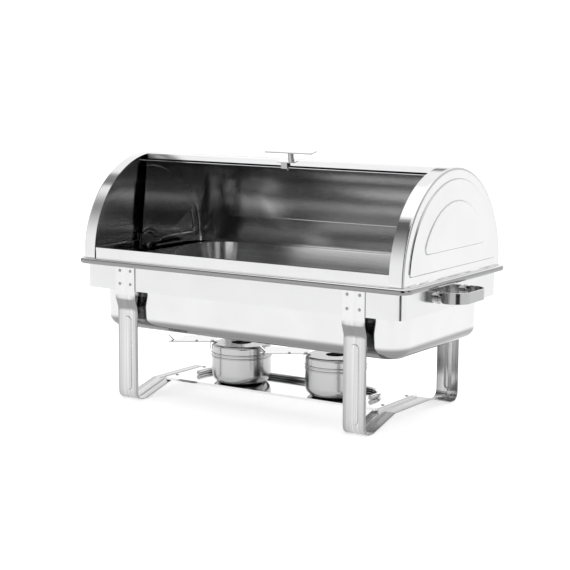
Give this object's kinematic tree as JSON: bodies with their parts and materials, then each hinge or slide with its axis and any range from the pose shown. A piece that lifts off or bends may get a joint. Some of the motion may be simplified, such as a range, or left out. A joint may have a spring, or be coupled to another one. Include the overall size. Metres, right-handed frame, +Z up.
{
  "type": "roll-top chafing dish",
  "caption": "Roll-top chafing dish food warmer with a hinged half-round lid, food pan in a water pan, strap legs, side handles and fuel burners on a shelf.",
  "frame": {"origin": "on the floor, under the middle of the dish", "axes": "+X along the dish towards its right-hand end, +Y from the open front to the back, +Z up"},
  "size_m": [0.6924, 0.348, 0.4227],
  "materials": {
    "pan_steel": "polished stainless steel",
    "frame_steel": "polished stainless steel",
    "fastener_steel": "plain bright steel",
    "bright_steel": "polished stainless steel",
    "shelf_steel": "polished stainless sheet",
    "hood_steel": "mirror-polished stainless sheet",
    "burner_steel": "turned and brushed stainless steel"
  },
  "bodies": {
    "frame": {"support_frame": "frame_steel", "left_leg_strap": "frame_steel", "right_leg_strap": "frame_steel", "leg_rivets": "fastener_steel", "left_side_handle": "bright_steel", "right_side_handle": "bright_steel", "side_handle_bosses": "bright_steel", "side_handle_rivets": "fastener_steel", "burner_shelf": "shelf_steel", "shelf_studs": "fastener_steel", "burner_rail": "bright_steel"},
    "water_pan": {"water_pan": "pan_steel"},
    "food_pan": {"food_pan": "pan_steel"},
    "hood": {"left_end_cover": "hood_steel", "right_end_cover": "hood_steel", "rear_cover": "hood_steel", "front_sill": "hood_steel", "lid_pivot_brackets": "fastener_steel", "lid_pivot_pins": "fastener_steel", "lid_pivot_washers": "fastener_steel"},
    "roll_lid": {"lid_skin": "hood_steel", "left_lid_side": "hood_steel", "right_lid_side": "hood_steel", "handle_bracket": "bright_steel", "handle_post": "bright_steel", "handle_grip": "bright_steel", "handle_stud": "fastener_steel", "handle_nut": "fastener_steel"},
    "left_burner": {"left_burner_cup": "burner_steel", "left_burner_collar": "burner_steel", "left_snuffer_bracket": "burner_steel", "left_snuffer_pivot": "burner_steel"},
    "left_snuffer": {"left_snuffer_flap": "burner_steel", "left_snuffer_stop": "burner_steel"},
    "right_burner": {"right_burner_cup": "burner_steel", "right_burner_collar": "burner_steel", "right_snuffer_bracket": "burner_steel", "right_snuffer_pivot": "burner_steel"},
    "right_snuffer": {"right_snuffer_flap": "burner_steel", "right_snuffer_stop": "burner_steel"}
  },
  "joints": [
    {"name": "water_pan_lift", "type": "slide", "parent": "frame", "child": "water_pan", "axis": [0, 0, 1], "range_m": [0, 0.15]},
    {"name": "food_pan_lift", "type": "slide", "parent": "water_pan", "child": "food_pan", "axis": [0, 0, 1], "range_m": [0, 0.012]},
    {"name": "hood_lift", "type": "slide", "parent": "water_pan", "child": "hood", "axis": [0, 0, 1], "range_m": [0, 0.1]},
    {"name": "roll_lid_hinge", "type": "hinge", "parent": "hood", "child": "roll_lid", "pos_m": [0, 0, 0.24], "axis": [1, 0, 0], "range_deg": [0, 75]},
    {"name": "left_burner_out", "type": "slide", "parent": "frame", "child": "left_burner", "axis": [0.5, -0.866, 0], "range_m": [0, 0.12]},
    {"name": "right_burner_out", "type": "slide", "parent": "frame", "child": "right_burner", "axis": [0, -1, 0], "range_m": [0, 0.12]},
    {"name": "left_snuffer_pivot", "type": "hinge", "parent": "left_burner", "child": "left_snuffer", "pos_m": [-0.12551, -0.04496, 0.0925], "axis": [0, 0, 1], "range_deg": [-141, 0]},
    {"name": "right_snuffer_pivot", "type": "hinge", "parent": "right_burner", "child": "right_snuffer", "pos_m": [0.06249, -0.04496, 0.0925], "axis": [0, 0, 1], "range_deg": [-141, 0]}
  ]
}
